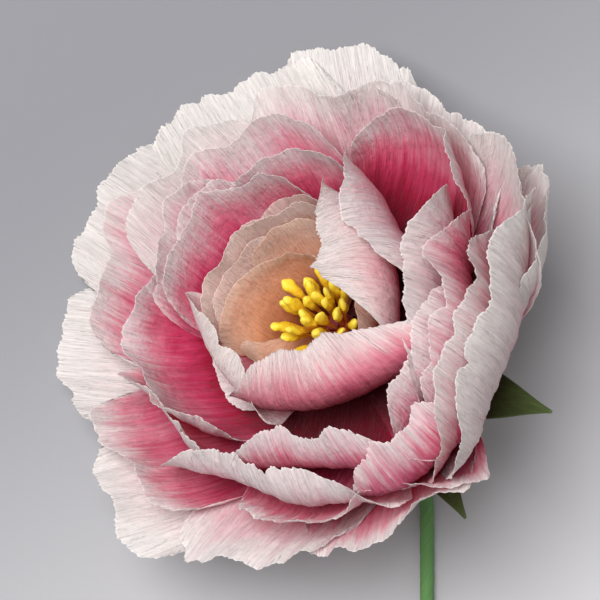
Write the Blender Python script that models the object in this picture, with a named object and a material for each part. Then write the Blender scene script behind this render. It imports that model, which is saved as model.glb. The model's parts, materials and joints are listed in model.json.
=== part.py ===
"""Crepe paper peony on a wrapped wire stem, lying on a flat surface.

The head is a turned core with two fringes of stamens round its pin, six
whorls of crepe petals and five sepals. A wire runs up the wrapped stem,
bends at the neck and ends in the core. Lengths in the tables are in
millimetres in the flower's own frame: r out from its axis, w along it.
"""
import math

import bmesh
import bpy
import numpy as np
from mathutils import Matrix, Vector

MM = 0.001
CLEARANCE = 0.3

# how the head lies
HEAD_TILT = 33.0
HEAD_BEARING = 140.0
HEAD_HEIGHT = 43.2

# stem
WIRE_RADIUS = 1.0
BORE_RADIUS = WIRE_RADIUS + CLEARANCE
WRAP_RADIUS = 2.25
STEM_X = 27.7
NECK_END_Y = -62.0
STEM_END_Y = -245.0
NECK_PULL = 24.0
FLOOR_PULL = 30.0

# core
CORE_TOP = 1.6
CORE_BOTTOM = -23.7
PIN_RADIUS = 2.0
PIN_TOP = 7.0
WIRE_TOP = -6.5

# shells: one row per whorl from the heart outwards, a spare one, then the sepals',
# with a value every 45 degrees of azimuth
BASE_STEP = 3.0
BASE_RADIUS = (5.8, 5.8, 5.5, 5.1, 4.7, 4.2, 3.9, 3.7)
OPEN_ANGLE = (48, 66, 78, 86, 92, 98, 103, 100)
REACH = (
    (19, 20, 22, 27, 28, 23, 21, 20),
    (14, 17, 30, 34, 33, 28, 26, 29),
    (34, 31, 45, 48, 52, 46, 43, 46),
    (45, 60, 62, 60, 61, 50, 52, 56),
    (63, 68, 76, 77, 72, 67, 67, 65),
    (74, 76, 93, 94, 92, 85, 78, 75),
    (83, 85, 103, 104, 101, 94, 86, 83),
    (74, 62, 62, 62, 62, 62, 80, 78),
)
RISE = (
    (28, 30, 33, 31, 29, 29, 26, 26),
    (44, 46, 39, 35, 33, 32, 42, 42),
    (42, 44, 36, 34, 27, 30, 38, 41),
    (44, 36, 30, 28, 25, 28, 33, 38),
    (42, 29, 21, 22, 18, 18, 20, 36),
    (38, 20, 7, 14, 8, 15, 14, 31),
    (32, 15, 4, 9, 3, 9, 7, 27),
    (-8, -12, -17, -18, -19, -19, -10, -6),
)
TIP_ANGLE = (
    (-5, -5, 0, 0, 0, -15, -10, -10),
    (-79, -68, -10, 0, 0, -20, -78, -85),
    (-42, -38, 0, 0, 5, -10, -42, -42),
    (-30, -5, 5, 8, 12, -12, -28, -28),
    (-8, 10, 25, 22, 15, 12, 8, -15),
    (0, 32, 52, 48, 50, 40, 30, -8),
    (8, 40, 58, 56, 58, 50, 40, 5),
    (75, 80, 85, 85, 85, 85, 75, 70),
)
SPIRAL = 0.36

# petals
PETAL_THICKNESS = 0.35
CLAW = 1.7
# name, shell, azimuth, length, width
PETALS = (
    ("petal_a1", -0.4, 135, 1.0, 46),
    ("petal_a2", 0, 100, 1.0, 42),
    ("petal_a3", 0.5, 150, 1.0, 40),
    ("petal_a4", 0, 20, 1.00, 34),
    ("petal_a5", 0, -38, 1.06, 34),
    ("petal_a6", -0.03, -135, 1.0, 40),
    ("petal_b1", 1, 150, 1.0, 50),
    ("petal_b2", 1, 104, 1.0, 50),
    ("petal_b3", 0.38, -154, 1.0, 54),
    ("petal_b4", 1.12, -74, 1.0, 90),
    ("petal_b5", 1, 25, 1.0, 66),
    ("petal_b6", 1, 80, 0.92, 50),
    ("petal_c1", 2, 142, 1.0, 58),
    ("petal_c2", 2, 118, 1.0, 62),
    ("petal_c3", 2, 96, 1.0, 54),
    ("petal_c4", 2, 30, 1.0, 66),
    ("petal_c5", 2, -33, 0.96, 60),
    ("petal_c6", 2, -88, 1.0, 66),
    ("petal_c7", 2, -164, 0.60, 40),
    ("petal_d1", 3, 146, 1.0, 56),
    ("petal_d2", 3, 112, 1.0, 68),
    ("petal_d3", 3.15, 48, 1.0, 68),
    ("petal_d4", 2.65, -8, 1.0, 74),
    ("petal_d5", 2.95, -16, 1.0, 80),
    ("petal_d6", 3.03, -68, 1.0, 58),
    ("petal_d7", 3.1, -108, 1.0, 86),
    ("petal_d8", 3, -168, 1.0, 86),
    ("petal_e1", 4, 157, 1.04, 76),
    ("petal_e2", 4.06, 130, 1.0, 72),
    ("petal_e3", 4, 88, 1.0, 80),
    ("petal_e4", 4, 60, 1.0, 68),
    ("petal_e5", 4, 23, 1.0, 72),
    ("petal_e6", 4, -24, 1.0, 86),
    ("petal_e7", 4, -85, 1.0, 92),
    ("petal_e8", 4.44, -152, 1.0, 66),
    ("petal_e9", 3.85, -148, 1.0, 80),
    ("petal_f1", 5, 178, 1.0, 78),
    ("petal_f2", 4.98, 146, 1.0, 78),
    ("petal_f3", 5, 112, 1.0, 92),
    ("petal_f4", 5.1, 86, 1.0, 78),
    ("petal_f5", 5.14, 55, 1.0, 84),
    ("petal_f6", 5.03, 11, 0.93, 70),
    ("petal_f7", 5.05, -18, 1.0, 98),
    ("petal_f8", 5.05, -76, 1.0, 74),
    ("petal_f9", 5, -112, 1.0, 78),
    ("petal_f10", 5, -146, 1.0, 76),
)
RUFFLE = (0.25, 0.35, 0.5, 0.6, 0.6, 0.6)
GRID = ((6, 6), (7, 6), (8, 6), (8, 6), (8, 7), (8, 7))

# sepals: name, shell, azimuth, length, width
SEPAL_THICKNESS = 0.5
SEPALS = (
    ("sepal_1", 6.95, -28, 0.95, 19),
    ("sepal_2", 7.2, -64, 1.00, 18),
    ("sepal_3", 7.0, 42, 0.80, 18),
    ("sepal_4", 7.0, 115, 0.80, 18),
    ("sepal_5", 7.0, -165, 0.80, 18),
)

# stamens: name, inner and outer radius of the band, top, count, splay angles, length
BAND_BOTTOM = CORE_TOP + CLEARANCE
FRINGES = (
    ("stamens_inner", PIN_RADIUS + CLEARANCE, 3.0, 6.0, 12, (5, 23), 17.5),
    ("stamens_outer", 3.3, 4.2, 5.0, 14, (33, 46), 17.0),
)
CLOSING = 0.45
CLOSING_AZIMUTH = 34.0

SEED = 11

COLOURS = {
    "heart": (0.93, 0.69, 0.52, 1.0),
    "inner": (0.87, 0.50, 0.54, 1.0),
    "middle": (0.84, 0.36, 0.46, 1.0),
    "outer": (0.90, 0.66, 0.68, 1.0),
    "green": (0.07, 0.17, 0.05, 1.0),
    "stem": (0.17, 0.36, 0.12, 1.0),
    "stamen": (0.85, 0.58, 0.02, 1.0),
    "core": (0.80, 0.66, 0.36, 1.0),
    "wire": (0.45, 0.45, 0.46, 1.0),
}


def clear_scene():
    """Remove the objects the file opened with."""
    for obj in list(bpy.data.objects):
        bpy.data.objects.remove(obj, do_unlink=True)


def make_material(name, colour, roughness, metallic=0.0):
    """Principled material of one sub-part."""
    material = bpy.data.materials.new(name)
    material.use_nodes = True
    shader = material.node_tree.nodes["Principled BSDF"]
    shader.inputs["Base Color"].default_value = colour
    shader.inputs["Roughness"].default_value = roughness
    shader.inputs["Metallic"].default_value = metallic
    return material


def make_object(name, vertices, faces, material, parent):
    """Object from points in millimetres and faces."""
    mesh = bpy.data.meshes.new(name)
    mesh.from_pydata([tuple(MM * c for c in v) for v in vertices], [], faces)
    mesh.validate()
    mesh.materials.append(material)
    mesh.shade_smooth()
    mesh.update()
    obj = bpy.data.objects.new(name, mesh)
    bpy.context.collection.objects.link(obj)
    obj.parent = parent
    return obj


def between(table, shell):
    """Row value at a fractional shell."""
    rows = np.array(table, float)
    s = np.clip(shell, -0.6, len(rows) - 0.5)
    i = np.clip(np.floor(s).astype(int), 0, len(rows) - 2)
    f = s - i
    return rows[i] * (1 - f) + rows[i + 1] * f


def around(table, shell, azimuth):
    """Table value at a fractional shell and azimuth, smooth round the axis."""
    rows = np.array(table, float)
    s = np.clip(shell, -0.6, len(rows) - 0.5)
    i = np.clip(np.floor(s).astype(int), 0, len(rows) - 2)
    f = s - i
    turn = np.mod(azimuth, 2 * np.pi) / (np.pi / 4)
    j = np.floor(turn).astype(int) % 8
    g = turn - np.floor(turn)
    weights = (
        -0.5 * g + g * g - 0.5 * g ** 3,
        1 - 2.5 * g * g + 1.5 * g ** 3,
        0.5 * g + 2 * g * g - 1.5 * g ** 3,
        -0.5 * g * g + 0.5 * g ** 3,
    )
    total = 0
    for k, weight in enumerate(weights):
        column = (j + k - 1) % 8
        total = total + weight * (rows[i, column] * (1 - f) + rows[i + 1, column] * f)
    return total


def shell_curve(shell, azimuth, u):
    """Point (r, w) and unit tangent of a shell's meridian, a cubic from core to rim."""
    r0 = between(BASE_RADIUS, shell)
    w0 = -BASE_STEP * shell
    reach = around(REACH, shell, azimuth)
    rise = around(RISE, shell, azimuth)
    tip = np.radians(around(TIP_ANGLE, shell, azimuth))
    start = np.radians(between(OPEN_ANGLE, shell))
    chord = np.hypot(reach - r0, rise - w0)
    pull = 0.38 + 0.34 * np.clip(-tip / 1.4, 0, 1)
    points = (
        (r0, w0),
        (r0 + 0.45 * chord * np.sin(start), w0 + 0.45 * chord * np.cos(start)),
        (reach - pull * chord * np.sin(tip), rise - pull * chord * np.cos(tip)),
        (reach, rise),
    )
    v = np.minimum(u, 1.0)
    beyond = np.maximum(u - 1.0, 0) * chord * pull * 3
    curve = ((1 - v) ** 3, 3 * (1 - v) ** 2 * v, 3 * (1 - v) * v * v, v ** 3)
    slope = ((1 - v) ** 2, 2 * (1 - v) * v, v * v)
    r = sum(c * p[0] for c, p in zip(curve, points))
    w = sum(c * p[1] for c, p in zip(curve, points))
    dr = sum(c * (points[k + 1][0] - points[k][0]) for k, c in enumerate(slope))
    dw = sum(c * (points[k + 1][1] - points[k][1]) for k, c in enumerate(slope))
    norm = np.hypot(dr, dw)
    return r + beyond * np.sin(tip), w + beyond * np.cos(tip), dr / norm, dw / norm


def shared_waves(shell, azimuth, r, u):
    """Waves that neighbouring petals share, so that they nest."""
    grow = np.clip(u, 0, 1.3) ** 2.6 * (0.35 + 0.65 * np.clip(shell / 3.0, 0, 1))
    waves = (
        0.030 * np.sin(5 * azimuth + 1.1 * shell)
        + 0.034 * np.sin(9 * azimuth - 0.9 * shell + 1)
        + 0.012 * np.sin(13 * azimuth + 0.8 * shell + 2)
    )
    return r * grow * waves


def own_waves(x, t, seed, amplitude):
    """A petal's own ruffle, growing to its rim."""
    phase = np.random.default_rng(seed).uniform(0, 6.28, 2)
    wave = np.sin(2 * np.pi * x / 34 + phase[0] + 1.2 * t)
    wave = wave + 0.45 * np.sin(2 * np.pi * x / 19 + phase[1] + 1.2 * t)
    return amplitude * t ** 3 * wave


def petal_points(shell, azimuth, length, width, ruffle, seed, across, along, pointed=False):
    """Grid of points over one petal's middle surface."""
    steps = np.sin(np.linspace(-1, 1, across) * np.pi / 2 * 0.82) / math.sin(np.pi / 2 * 0.82)
    rows = np.linspace(0, 1, along)
    x, t = np.meshgrid(steps, rows, indexing="ij")
    phase = np.random.default_rng(seed + 100).uniform(0, 6.28, 2)
    edge = 1 - 0.2 * np.abs(x) ** 2.6 - 0.03 * np.exp(-((x / 0.2) ** 2))
    torn = 1 + t * 0.02 * (np.sin(5 * x + phase[0]) + 0.7 * np.sin(9 * x + phase[1]))
    u = t * length * (edge * torn if not pointed else 1.0)
    centre = math.radians(azimuth)
    middle = rows * length
    radius = shell_curve(shell + 0 * middle, centre + 0 * middle, middle)[0]
    radius = np.maximum.accumulate(radius)
    swell = np.sin(np.pi / 2 * rows ** 0.75) * (1 - 0.14 * rows ** 5)
    if pointed:
        swell = np.sin(np.pi * rows ** 0.8)
    half = CLAW + (width / 2 - CLAW) * swell
    if pointed:
        half = half * (1 - 0.75 * rows ** 6)
    angle = x * (half / radius)[None, :]
    turned = shell + SPIRAL * angle
    r, w, dr, dw = shell_curve(turned, centre + angle, u)
    offset = own_waves(x * half[None, :], t, seed, ruffle)
    if not pointed:
        offset = offset + shared_waves(turned, centre + angle, r, u)
    else:
        offset = offset - 0.12 * width * x * x * np.sin(np.pi * t)
    r = r + dw * offset
    w = w - dr * offset
    return np.stack([r * np.cos(centre + angle), r * np.sin(centre + angle), w], -1)


def sheet_object(name, grid, thickness, material, parent):
    """Grid of points given a thickness by a Solidify modifier."""
    across, along = grid.shape[:2]
    faces = []
    for i in range(across - 1):
        for j in range(along - 1):
            k = i * along + j
            faces.append((k, k + along, k + along + 1, k + 1))
    obj = make_object(name, grid.reshape(-1, 3), faces, material, parent)
    solid = obj.modifiers.new("thickness", "SOLIDIFY")
    solid.thickness = thickness * MM
    solid.offset = 0.0
    solid.use_even_offset = False
    solid.use_quality_normals = True
    return obj


def turned_object(name, profile, segments, material, parent):
    """Solid of revolution from an (r, w) profile that starts and ends on the axis."""
    vertices = [(0, 0, profile[0][1])]
    for r, w in profile[1:-1]:
        for k in range(segments):
            a = 2 * math.pi * k / segments
            vertices.append((r * math.cos(a), r * math.sin(a), w))
    vertices.append((0, 0, profile[-1][1]))
    last = len(vertices) - 1
    rings = len(profile) - 2
    faces = []
    for k in range(segments):
        n = (k + 1) % segments
        faces.append((0, 1 + k, 1 + n))
        for ring in range(rings - 1):
            a = 1 + ring * segments
            b = a + segments
            faces.append((a + k, b + k, b + n, a + n))
        a = 1 + (rings - 1) * segments
        faces.append((a + k, last, a + n))
    return make_object(name, vertices, faces, material, parent)


def make_core(material, parent):
    """Wound core: petal seats stepping down its side, a pin for the fringes, a bore for the wire."""
    profile = [(0, PIN_TOP), (PIN_RADIUS, PIN_TOP), (PIN_RADIUS, CORE_TOP)]
    seat = CLEARANCE + 0.05
    profile.append((BASE_RADIUS[0] - seat, CORE_TOP))
    for k, radius in enumerate(BASE_RADIUS):
        profile.append((radius - seat, -BASE_STEP * k))
    profile.append((BASE_RADIUS[-1] - seat - 0.1, CORE_BOTTOM))
    profile.append((BORE_RADIUS, CORE_BOTTOM))
    profile.append((BORE_RADIUS, WIRE_TOP + CLEARANCE))
    profile.append((0, WIRE_TOP + CLEARANCE))
    return turned_object("flower_core", profile, 16, material, parent)


def make_fringe(name, inner, outer, top, count, splays, length, material, parent):
    """Band round the pin whose top is cut into fingers that end in anthers."""
    count = int(count)
    rng = np.random.default_rng(int(SEED) + count)
    vertices = []
    faces = []
    n = 2 * count
    for k in range(n):
        a = math.pi * k / count - 0.04 * (1 if k % 2 else -1)
        for r, w in ((inner, BAND_BOTTOM), (outer, BAND_BOTTOM), (outer, top), (inner, top)):
            vertices.append((r * math.cos(a), r * math.sin(a), w))
    for k in range(n):
        a = 4 * k
        b = 4 * ((k + 1) % n)
        faces.append((a, b, b + 1, a + 1))
        faces.append((a + 1, b + 1, b + 2, a + 2))
        faces.append((b, a, a + 3, b + 3))
        if k % 2:
            faces.append((a + 2, b + 2, b + 3, a + 3))
            continue
        middle = math.pi * (k + 0.5) / count
        close = 1 - CLOSING * max(0.0, math.cos(middle - math.radians(CLOSING_AZIMUTH)))
        splay = math.radians((splays[(k // 2) % 2] + rng.uniform(-3, 3)) * close)
        swing = math.radians(rng.uniform(-6, 6))
        reach = length * rng.uniform(0.86, 1.04)
        out = Vector((math.cos(middle + swing), math.sin(middle + swing), 0))
        axis = Vector((0, 0, 1)) * math.cos(splay) + out * math.sin(splay)
        side = Vector((-math.sin(middle), math.cos(middle), 0))
        side = (side - axis * side.dot(axis)).normalized()
        front = side.cross(axis).normalized()
        root = Vector((math.cos(middle), math.sin(middle), 0)) * (inner + outer) / 2
        root = root + Vector((0, 0, top))
        ring = [a + 3, a + 2, b + 2, b + 3]
        for along, wide, deep in ((0.55, 0.6, 0.45), (0.8, 1.4, 1.1), (1.0, 0.9, 0.75)):
            centre = root + axis * (reach * along)
            first = len(vertices)
            for s, f in ((-1, -1), (-1, 1), (1, 1), (1, -1)):
                vertices.append(tuple(centre + side * (s * wide) + front * (f * deep)))
            fresh = [first, first + 1, first + 2, first + 3]
            for q in range(4):
                p = (q + 1) % 4
                faces.append((ring[q], ring[p], fresh[p], fresh[q]))
            ring = fresh
        faces.append(tuple(ring))
    obj = make_object(name, vertices, faces, material, parent)
    tidy = bmesh.new()
    tidy.from_mesh(obj.data)
    bmesh.ops.recalc_face_normals(tidy, faces=tidy.faces)
    tidy.to_mesh(obj.data)
    tidy.free()
    return obj


def stem_route(start, direction):
    """Centre line of the stem: down out of the core, round the neck, along the floor."""
    bend = Vector((STEM_X, NECK_END_Y, WRAP_RADIUS))
    p1 = start + direction * NECK_PULL
    p2 = bend + Vector((0, FLOOR_PULL, 0))
    points = [start]
    for k in range(1, 10):
        t = k / 9
        point = start * (1 - t) ** 3 + p1 * (3 * (1 - t) ** 2 * t)
        points.append(point + p2 * (3 * (1 - t) * t * t) + bend * t ** 3)
    points.append(Vector((STEM_X, STEM_END_Y, WRAP_RADIUS)))
    return points


def frames_along(points):
    """Square frames along a path, carried without twist."""
    tangents = []
    for k, point in enumerate(points):
        before = points[max(k - 1, 0)]
        after = points[min(k + 1, len(points) - 1)]
        into = (point - before).normalized() if k else (after - point).normalized()
        out = (after - point).normalized() if k < len(points) - 1 else into
        tangents.append((into + out).normalized())
    up = Vector((0, 0, 1))
    frames = [None] * len(points)
    normal = (up - tangents[-1] * up.dot(tangents[-1])).normalized()
    for k in range(len(points) - 1, -1, -1):
        normal = (normal - tangents[k] * normal.dot(tangents[k])).normalized()
        frames[k] = (points[k], normal, tangents[k].cross(normal))
    return frames


def ring_at(frame, radius, sides):
    """Points of one cross-section, with a vertex straight down."""
    centre, normal, across = frame
    ring = []
    for k in range(sides):
        a = 2 * math.pi * k / sides + math.pi
        ring.append(tuple(centre + normal * (radius * math.cos(a)) + across * (radius * math.sin(a))))
    return ring


def rod_object(name, points, radius, sides, material, parent):
    """Solid rod along a path."""
    vertices = []
    faces = []
    for frame in frames_along(points):
        vertices.extend(ring_at(frame, radius, sides))
    for k in range(len(points) - 1):
        for s in range(sides):
            a = k * sides + s
            b = k * sides + (s + 1) % sides
            faces.append((a, b, b + sides, a + sides))
    faces.append(tuple(range(sides - 1, -1, -1)))
    end = (len(points) - 1) * sides
    faces.append(tuple(range(end, end + sides)))
    return make_object(name, vertices, faces, material, parent)


def sleeve_object(name, points, outer, inner, sides, material, parent):
    """Open tube along a path."""
    vertices = []
    faces = []
    frames = frames_along(points)
    for frame in frames:
        vertices.extend(ring_at(frame, outer, sides))
        vertices.extend(ring_at(frame, inner, sides))
    row = 2 * sides
    for k in range(len(points) - 1):
        for s in range(sides):
            n = (s + 1) % sides
            a = k * row
            faces.append((a + s, a + n, a + row + n, a + row + s))
            faces.append((a + sides + n, a + sides + s, a + row + sides + s, a + row + sides + n))
    end = (len(points) - 1) * row
    for s in range(sides):
        n = (s + 1) % sides
        faces.append((n, s, sides + s, sides + n))
        faces.append((end + s, end + n, end + sides + n, end + sides + s))
    return make_object(name, vertices, faces, material, parent)


def outward(obj):
    """Turn every face of a closed object outwards."""
    tidy = bmesh.new()
    tidy.from_mesh(obj.data)
    bmesh.ops.recalc_face_normals(tidy, faces=tidy.faces)
    tidy.to_mesh(obj.data)
    tidy.free()


def head_matrix():
    """Flower frame in the world, in millimetres."""
    tilt = math.radians(HEAD_TILT)
    bearing = math.radians(HEAD_BEARING)
    axis = Vector((math.sin(tilt) * math.cos(bearing), math.sin(tilt) * math.sin(bearing), math.cos(tilt)))
    first = (Vector((1, 0, 0)) - axis * axis.x).normalized()
    second = axis.cross(first)
    turn = Matrix((first, second, axis)).transposed()
    return turn.to_4x4(), axis


def main():
    clear_scene()
    root = bpy.data.objects.new("peony", None)
    bpy.context.collection.objects.link(root)
    head = bpy.data.objects.new("head", None)
    bpy.context.collection.objects.link(head)
    head.parent = root
    turn, axis = head_matrix()
    head.matrix_local = Matrix.Translation(Vector((0, 0, HEAD_HEIGHT * MM))) @ turn

    tones = ("heart", "inner", "middle", "middle", "outer", "outer")
    for number, (name, shell, azimuth, length, width) in enumerate(PETALS):
        whorl = int(round(shell))
        across, along = (int(count) for count in GRID[whorl])
        grid = petal_points(shell, azimuth, length, width, RUFFLE[whorl],
                            int(SEED) + number, across, along)
        material = make_material(name, COLOURS[tones[whorl]], 0.85)
        sheet_object(name, grid, PETAL_THICKNESS, material, head)
    for number, (name, shell, azimuth, length, width) in enumerate(SEPALS):
        grid = petal_points(shell, azimuth, length, width, 0.4, int(SEED) + 60 + number, 5, 7, True)
        material = make_material(name, COLOURS["green"], 0.8)
        sheet_object(name, grid, SEPAL_THICKNESS, material, head)

    outward(make_core(make_material("flower_core", COLOURS["core"], 0.8), head))
    for name, inner, outer, top, count, splays, length in FRINGES:
        material = make_material(name, COLOURS["stamen"], 0.7)
        make_fringe(name, inner, outer, top, count, splays, length, material, head)

    centre = Vector((0, 0, HEAD_HEIGHT))
    leave = centre + axis * (CORE_BOTTOM - CLEARANCE)
    route = stem_route(leave, -axis)
    wire = [centre + axis * WIRE_TOP] + route
    outward(rod_object("stem_wire", wire, WIRE_RADIUS, 7,
                       make_material("stem_wire", COLOURS["wire"], 0.4, 1.0), root))
    outward(sleeve_object("stem_wrap", route, WRAP_RADIUS, BORE_RADIUS + 0.1, 10,
                          make_material("stem_wrap", COLOURS["stem"], 0.8), root))

    bpy.context.view_layer.update()
    corners = []
    graph = bpy.context.evaluated_depsgraph_get()
    for obj in bpy.data.objects:
        if obj.type != "MESH":
            continue
        solid = obj.evaluated_get(graph)
        count = len(solid.data.vertices)
        flat = np.empty(3 * count)
        solid.data.vertices.foreach_get("co", flat)
        points = flat.reshape(-1, 3) @ np.array(obj.matrix_world.to_3x3()).T
        points = points + np.array(obj.matrix_world.translation)
        corners.append((points.min(0), points.max(0)))
    low = np.min([c[0] for c in corners], 0)
    high = np.max([c[1] for c in corners], 0)
    root.location = (-(low[0] + high[0]) / 2, -(low[1] + high[1]) / 2, -low[2])
    bpy.context.view_layer.update()


main()
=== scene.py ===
import json
import math

import bpy
import numpy as np
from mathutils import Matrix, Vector


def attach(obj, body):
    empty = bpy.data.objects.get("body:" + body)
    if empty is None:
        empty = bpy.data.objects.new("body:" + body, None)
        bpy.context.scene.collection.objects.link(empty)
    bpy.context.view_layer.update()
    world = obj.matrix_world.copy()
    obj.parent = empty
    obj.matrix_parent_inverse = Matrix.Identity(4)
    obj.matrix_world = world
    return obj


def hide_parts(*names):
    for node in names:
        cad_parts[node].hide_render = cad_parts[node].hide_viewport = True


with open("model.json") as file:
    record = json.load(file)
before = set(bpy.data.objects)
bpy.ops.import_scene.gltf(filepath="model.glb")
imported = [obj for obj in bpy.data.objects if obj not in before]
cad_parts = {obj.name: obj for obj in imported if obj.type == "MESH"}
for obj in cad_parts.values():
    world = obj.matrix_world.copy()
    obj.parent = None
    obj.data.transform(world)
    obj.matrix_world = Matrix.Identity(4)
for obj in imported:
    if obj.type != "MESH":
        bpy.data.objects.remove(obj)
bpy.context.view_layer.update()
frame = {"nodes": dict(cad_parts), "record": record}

mm = 0.001
uvSpan = 100  # mm of paper to one unit of UV
phaseRange = 6.28  # random phases of waves run from 0 to this
print("frame loaded")

# how the head lies: tilt from upright and its bearing in degrees, height of the heart and
# places along the stem in mm
headPose = {"tilt": 33.0, "bearing": 140.0, "height": 43.2, "stemX": 27.7, "stemEndY": -245.0,
            "stemEndZ": 2.25, "neckEndY": -62.0, "coreBottom": -23.7, "gap": 0.3}

# reach, rise and tip have one row per whorl from the heart outwards, a spare one, then the sepals',
# and a value every 45 degrees of azimuth; mm and degrees
shells = {
    "step": 3.0,  # each whorl starts this much lower on the core
    "spiral": 0.36,  # whorls that a petal crosses in one radian
    "below": -0.6, "above": 0.5,  # how far the rows are read past the first and the last
    "basePull": 0.45, "rimPull": 0.38, "curlPull": 0.34, "fullCurl": 1.4,  # handles, as shares of the chord
    "waves": ((0.030, 5, 1.1, 0), (0.034, 9, -0.9, 1), (0.012, 13, 0.8, 2)),  # height, count, drift, phase
    "wavePower": 2.6, "waveLast": 1.3, "heartWaves": 0.35, "fullWaves": 3.0, "calmFrom": 4, "calm": 0.4,
    "base": (5.8, 5.8, 5.5, 5.1, 4.7, 4.2, 3.9, 3.7),
    "open": (48, 66, 78, 86, 92, 98, 103, 100),
    "reach": ((19, 20, 22, 27, 28, 23, 21, 20),
              (14, 17, 30, 34, 33, 28, 26, 29),
              (34, 31, 45, 48, 52, 46, 43, 46),
              (45, 60, 62, 60, 61, 50, 52, 56),
              (63, 68, 76, 77, 72, 67, 67, 65),
              (74, 76, 93, 94, 92, 85, 78, 75),
              (83, 85, 103, 104, 101, 94, 86, 83),
              (74, 62, 62, 62, 62, 62, 80, 78)),
    "rise": ((28, 30, 33, 31, 29, 29, 26, 26),
             (44, 46, 39, 35, 33, 32, 42, 42),
             (42, 44, 36, 34, 27, 30, 38, 41),
             (44, 36, 30, 28, 25, 28, 33, 38),
             (42, 29, 21, 22, 18, 18, 20, 36),
             (38, 20, 7, 14, 8, 15, 14, 31),
             (32, 15, 4, 9, 3, 9, 7, 27),
             (-8, -12, -17, -18, -19, -19, -10, -6)),
    "tip": ((-5, -5, 0, 0, 0, -15, -10, -10),
            (-79, -68, -10, 0, 0, -20, -78, -85),
            (-42, -38, 0, 0, 5, -10, -42, -42),
            (-30, -5, 5, 8, 12, -12, -28, -28),
            (-8, 10, 25, 22, 15, 12, 8, -15),
            (0, 32, 52, 48, 50, 40, 30, -8),
            (8, 40, 58, 56, 58, 50, 40, 5),
            (75, 80, 85, 85, 85, 85, 75, 70)),
}


def rowsNear(table, shell):
    # the table as an array, the shell kept within it, and the row at or under the shell
    rows = np.array(table, float)
    place = np.clip(shell, shells["below"], len(rows) - shells["above"])
    return rows, place, np.clip(np.floor(place).astype(int), 0, len(rows) - 2)


def rowBetween(table, shell):
    # straight-line value between two rows at a fractional shell
    rows, s, i = rowsNear(table, shell)
    return rows[i] * (1 - s + i) + rows[i + 1] * (s - i)


def valueAround(table, shell, azimuth):
    # smooth closed curve through a row's eight values, blended between two rows
    rows, s, i = rowsNear(table, shell)
    f = s - i
    turn = np.mod(azimuth, 2 * np.pi) / (np.pi / 4)
    j = np.floor(turn).astype(int) % 8
    g = turn - np.floor(turn)
    parts = (-0.5 * g + g * g - 0.5 * g ** 3, 1 - 2.5 * g * g + 1.5 * g ** 3,
             0.5 * g + 2 * g * g - 1.5 * g ** 3, -0.5 * g * g + 0.5 * g ** 3)
    total = 0
    for k, part in enumerate(parts):
        column = (j + k - 1) % 8
        total = total + part * (rows[i, column] * (1 - f) + rows[i + 1, column] * f)
    return total


def shellCurve(shell, azimuth, u, rim=None, x=0):
    # cubic from the core (u = 0) to the rim (u = 1), straight on past it: r, w and unit tangent;
    # a petal's own rim is a parabola through its three places
    r0 = rowBetween(shells["base"], shell)
    w0 = -shells["step"] * shell
    if rim:
        weights = (x * (x - 1) / 2, 1 - x * x, x * (x + 1) / 2)
        reach, rise, tip = (sum(w * place[k] for w, place in zip(weights, rim)) for k in range(3))
    else:
        reach, rise, tip = (valueAround(shells[key], shell, azimuth) for key in ("reach", "rise", "tip"))
    tip = np.radians(tip)
    start = np.radians(rowBetween(shells["open"], shell))
    chord = np.hypot(reach - r0, rise - w0)
    push = shells["basePull"] * chord
    pull = shells["rimPull"] + shells["curlPull"] * np.clip(-tip / shells["fullCurl"], 0, 1)
    points = ((r0, w0), (r0 + push * np.sin(start), w0 + push * np.cos(start)),
              (reach - pull * chord * np.sin(tip), rise - pull * chord * np.cos(tip)), (reach, rise))
    v = np.minimum(u, 1.0)
    beyond = np.maximum(u - 1.0, 0) * chord * pull * 3
    curve = ((1 - v) ** 3, 3 * (1 - v) ** 2 * v, 3 * (1 - v) * v * v, v ** 3)
    slope = ((1 - v) ** 2, 2 * (1 - v) * v, v * v)
    r, w = (sum(c * p[k] for c, p in zip(curve, points)) for k in range(2))
    dr, dw = (sum(c * (points[n + 1][k] - points[n][k]) for n, c in enumerate(slope)) for k in range(2))
    norm = np.hypot(dr, dw)
    return r + beyond * np.sin(tip), w + beyond * np.cos(tip), dr / norm, dw / norm


def sharedWaves(shell, azimuth, r, u):
    # three sines round the axis, growing to the rim, so that neighbours nest
    heart = shells["heartWaves"]
    grow = np.clip(u, 0, shells["waveLast"]) ** shells["wavePower"]
    grow = grow * (heart + (1 - heart) * np.clip(shell / shells["fullWaves"], 0, 1))
    grow = grow * (1 - shells["calm"] * np.clip(shell - shells["calmFrom"], 0, 1))
    waves = sum(height * np.sin(count * azimuth + drift * shell + phase)
                for height, count, drift, phase in shells["waves"])
    return r * grow * waves


def placeHead():
    # flower frame to the object's frame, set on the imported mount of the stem's end
    tilt, bearing = math.radians(headPose["tilt"]), math.radians(headPose["bearing"])
    axis = Vector((math.sin(tilt) * math.cos(bearing), math.sin(tilt) * math.sin(bearing), math.cos(tilt)))
    first = (Vector((1, 0, 0)) - axis * axis.x).normalized()
    second = axis.cross(first)
    mount = next(m for m in frame["record"]["mounts"] if m["name"] == "stem_end")
    stemEnd = Vector((headPose["stemX"], headPose["stemEndY"], headPose["stemEndZ"]))
    shift = Vector(mount["pos_m"]) / mm - stemEnd
    return np.array([first, second, axis]), np.array(shift + Vector((0, 0, headPose["height"]))), shift


headTurn, heartPoint, rootShift = placeHead()


def toRow(points):
    # flower frame in mm to the object's frame in metres
    return (points @ headTurn + heartPoint) * mm


def addObject(name, data):
    obj = bpy.data.objects.new(name, data)
    bpy.context.collection.objects.link(obj)
    return obj


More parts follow.
